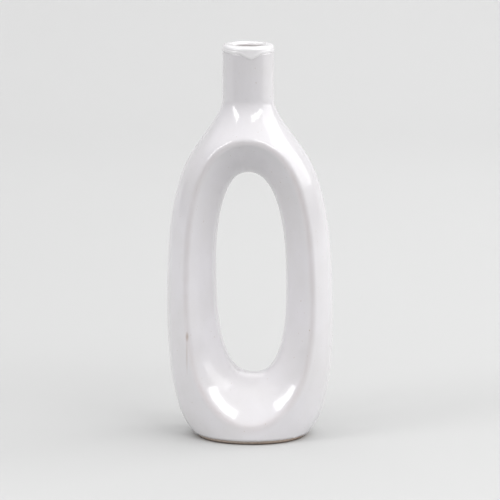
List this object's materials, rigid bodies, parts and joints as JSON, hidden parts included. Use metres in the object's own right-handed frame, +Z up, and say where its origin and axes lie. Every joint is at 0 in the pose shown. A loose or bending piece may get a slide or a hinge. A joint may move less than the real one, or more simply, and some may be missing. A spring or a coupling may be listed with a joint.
{
  "type": "flower vase",
  "caption": "Glazed stoneware ring vase: a hollow flattened ring with an oval opening through it, on a flat oval foot, with a short straight neck for a few stems.",
  "frame": {"origin": "on the ground under the middle of the body", "axes": "+Z up along the neck, +X across the face of the ring, +Y through the ring's opening towards the back; the front faces -Y"},
  "size_m": [0.1048, 0.0636, 0.25],
  "materials": {
    "clay": "matte bisque",
    "glaze": "glossy",
    "liner_glaze": "glossy",
    "lip_glaze": "glossy"
  },
  "bodies": {
    "root": {"front_shell": "clay", "back_shell": "clay", "base_disc": "clay", "neck_tube": "clay", "outer_glaze": "glaze", "neck_liner": "liner_glaze", "lip_glaze": "lip_glaze"}
  },
  "joints": []
}
